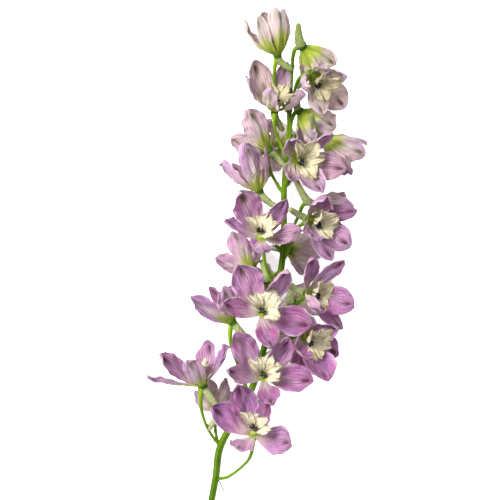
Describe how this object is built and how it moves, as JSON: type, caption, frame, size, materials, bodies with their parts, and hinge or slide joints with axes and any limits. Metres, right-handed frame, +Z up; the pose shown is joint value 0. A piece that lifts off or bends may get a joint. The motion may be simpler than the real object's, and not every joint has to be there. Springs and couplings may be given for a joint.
{
  "type": "delphinium flower spike",
  "caption": "Cut delphinium spike lying on its side: lilac spurred blooms with cream centres on thin stalks, set round a bare green stem.",
  "frame": {"origin": "on the surface that the spike lies on, under the middle of its outline", "axes": "+Y from the cut end of the stem to its tip, +Z up from the surface, +X to the right seen from above with the tip away"},
  "size_m": [0.1326, 0.3172, 0.068],
  "materials": {
    "stem": "fresh green plant stem, satin, darker and redder on its shaded side",
    "sepals": "thin soft petal, lilac with darker veins, brown spot near the tip, green midrib and spur outside",
    "bee": "ruffled cream inner petals round blue-black anthers"
  },
  "bodies": {
    "root": {"stem": "stem", "bloom_01": "sepals", "bloom_02": "sepals", "bloom_03": "sepals", "bloom_04": "sepals", "bloom_05": "sepals", "bloom_06": "sepals", "bloom_07": "sepals", "bloom_08": "sepals", "bloom_09": "sepals", "bloom_10": "sepals", "bloom_11": "sepals", "bloom_12": "sepals", "bloom_13": "sepals", "bloom_14": "sepals", "bloom_15": "sepals", "bloom_16": "sepals", "bloom_17": "sepals", "bloom_18": "sepals", "bloom_19": "sepals", "bloom_20": "sepals", "bloom_21": "sepals", "bloom_22": "sepals", "bloom_23": "sepals", "bloom_24": "sepals", "bloom_25": "sepals", "bloom_26": "sepals", "bee_01": "bee", "bee_02": "bee", "bee_04": "bee", "bee_05": "bee", "bee_06": "bee", "bee_07": "bee", "bee_08": "bee", "bee_09": "bee", "bee_10": "bee", "bee_11": "bee", "bee_12": "bee", "bee_13": "bee", "bee_14": "bee", "bee_15": "bee", "bee_16": "bee", "bee_17": "bee", "bee_18": "bee", "bee_19": "bee", "bee_20": "bee", "bee_22": "bee"}
  },
  "joints": []
}
